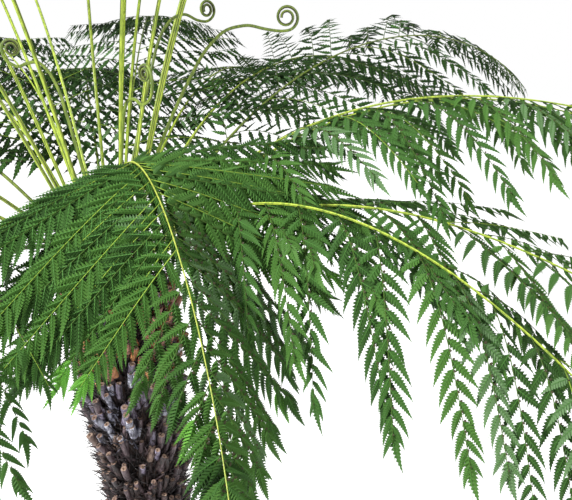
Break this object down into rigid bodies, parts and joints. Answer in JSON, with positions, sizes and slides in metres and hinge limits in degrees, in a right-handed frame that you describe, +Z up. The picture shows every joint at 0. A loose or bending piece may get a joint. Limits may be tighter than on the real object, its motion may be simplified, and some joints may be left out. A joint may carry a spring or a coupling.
{
  "type": "tree fern",
  "caption": "Tree fern with a leaning fibrous trunk, a crown of arching fronds, upright young fronds and coiled croziers.",
  "frame": {"origin": "middle of the flat cut under the trunk, at ground level", "axes": "+Z up; -Y towards the picture's viewer, +X to the right as the picture sees it"},
  "size_m": [4.3093, 3.4963, 4.0727],
  "materials": {
    "trunk_fibre": "dark matted fibre with dense old stipe stubs, orange-brown near the crown and grey-mauve lower down",
    "leaf": "satin dark green leaflets",
    "young_leaf": "satin mid green leaflets of the young fronds",
    "stipe": "smooth satin yellow-green stipes and ribs"
  },
  "bodies": {
    "root": {"arching_frond_01_inner": "leaf", "arching_frond_01_outer": "leaf", "arching_frond_02_inner": "leaf", "arching_frond_02_outer": "leaf", "arching_frond_03_inner": "leaf", "arching_frond_03_outer": "leaf", "arching_frond_04_inner": "leaf", "arching_frond_04_outer": "leaf", "arching_frond_05_inner": "leaf", "arching_frond_05_outer": "leaf", "arching_frond_06_inner": "leaf", "arching_frond_06_outer": "leaf", "arching_frond_07_inner": "leaf", "arching_frond_07_outer": "leaf", "arching_frond_08_inner": "leaf", "arching_frond_08_outer": "leaf", "arching_frond_09_inner": "leaf", "arching_frond_09_outer": "leaf", "arching_frond_10_inner": "leaf", "arching_frond_10_outer": "leaf", "arching_frond_11_inner": "leaf", "arching_frond_11_outer": "leaf", "arching_frond_12_inner": "leaf", "arching_frond_12_outer": "leaf", "arching_frond_13_inner": "leaf", "arching_frond_13_outer": "leaf", "arching_frond_14_inner": "leaf", "arching_frond_14_outer": "leaf", "arching_frond_15_inner": "leaf", "arching_frond_15_outer": "leaf", "arching_frond_16_inner": "leaf", "arching_frond_16_outer": "leaf", "crozier_1": "stipe", "crozier_2": "stipe", "crozier_3": "stipe", "crozier_4": "stipe", "trunk": "trunk_fibre", "upright_frond_01": "young_leaf", "upright_frond_02": "young_leaf", "upright_frond_03": "young_leaf", "upright_frond_04": "young_leaf", "upright_frond_05": "young_leaf", "upright_frond_06": "young_leaf", "upright_frond_07": "young_leaf", "upright_frond_08": "young_leaf", "upright_frond_09": "young_leaf", "upright_frond_10": "young_leaf", "upright_frond_11": "young_leaf", "upright_frond_12": "young_leaf", "upright_frond_13": "young_leaf", "upright_frond_14": "young_leaf"}
  },
  "joints": []
}
